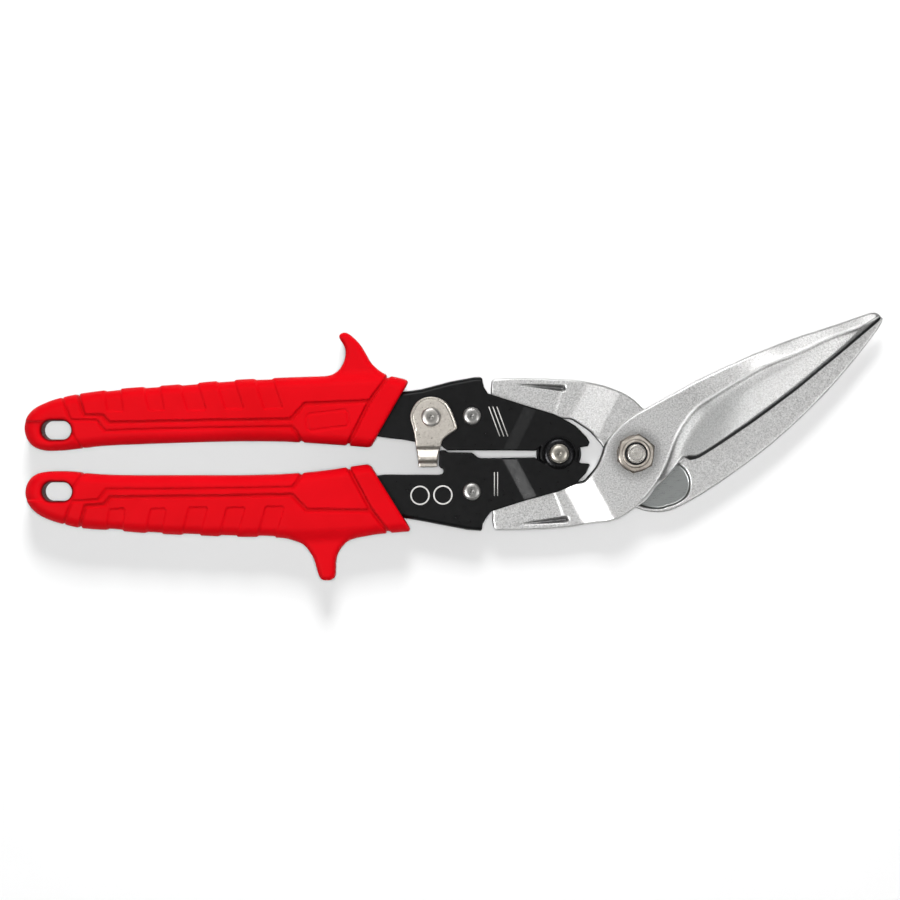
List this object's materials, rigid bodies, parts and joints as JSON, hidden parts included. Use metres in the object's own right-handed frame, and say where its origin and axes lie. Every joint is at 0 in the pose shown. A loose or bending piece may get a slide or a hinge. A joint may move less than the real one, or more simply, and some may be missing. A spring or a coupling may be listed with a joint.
{
  "type": "aviation snips",
  "caption": "Long-cut compound-action aviation snips with red grips, finger guards, a closing latch and angled offset jaws.",
  "frame": {"origin": "on the main pivot bolt's axis, at the outer face of its head, which is the plane the tool rests on when it lies on its back", "axes": "+X along the tool toward the jaw tips, +Y toward the upper handle, +Z along the pivot axis away from the resting plane"},
  "size_m": [0.3214, 0.1004, 0.0209],
  "materials": {
    "grip_rubber": "matte moulded rubber with a fine grain",
    "black_sheet": "black oxide with a fine texture",
    "forged_steel": "blasted forging with ground cutting edges",
    "bolt_steel": "turned",
    "nickel_plate": "nickel plated, satin",
    "rivet_steel": "formed and plated",
    "spring_steel": "oiled dark wire",
    "black_nylon": "moulded"
  },
  "bodies": {
    "lower_handle": {"lower_handle_frame": "black_sheet", "lower_grip": "grip_rubber", "lower_blade_rivet": "rivet_steel", "centre_pivot_rivet": "rivet_steel", "centre_washer_front": "black_sheet", "centre_washer_back": "black_sheet", "centre_spacer_sleeve": "rivet_steel", "return_spring": "spring_steel"},
    "upper_handle": {"upper_handle_frame": "black_sheet", "upper_grip": "grip_rubber", "upper_blade_rivet": "rivet_steel", "latch_rivet": "rivet_steel", "latch_spacer_washer": "nickel_plate"},
    "upper_jaw": {"upper_jaw_blade": "forged_steel", "pivot_bolt": "bolt_steel", "pivot_nut": "nickel_plate", "locknut_insert": "black_nylon"},
    "lower_jaw": {"lower_jaw_blade": "forged_steel"},
    "latch": {"latch": "nickel_plate"}
  },
  "joints": [
    {"name": "handle_pivot", "type": "hinge", "parent": "lower_handle", "child": "upper_handle", "pos_m": [-0.0285, 0, 0.0085], "axis": [0, 0, -1], "range_deg": [0, 33]},
    {"name": "upper_jaw_link", "type": "hinge", "parent": "lower_handle", "child": "upper_jaw", "pos_m": [-0.0611, -0.0141, 0.0085], "axis": [0, 0, -1], "range_deg": [0, 8.15]},
    {"name": "main_pivot", "type": "hinge", "parent": "upper_jaw", "child": "lower_jaw", "pos_m": [0, 0, 0.0085], "axis": [0, 0, -1], "range_deg": [0, 16.85]},
    {"name": "latch_swing", "type": "hinge", "parent": "upper_handle", "child": "latch", "pos_m": [-0.07635, 0.01365, 0.0085], "axis": [0, 0, -1], "range_deg": [0, 42]}
  ],
  "couplings": [
    {"joint": "upper_jaw_link", "follows": "handle_pivot", "ratio": 0.2455},
    {"joint": "main_pivot", "follows": "handle_pivot", "ratio": 0.509}
  ]
}
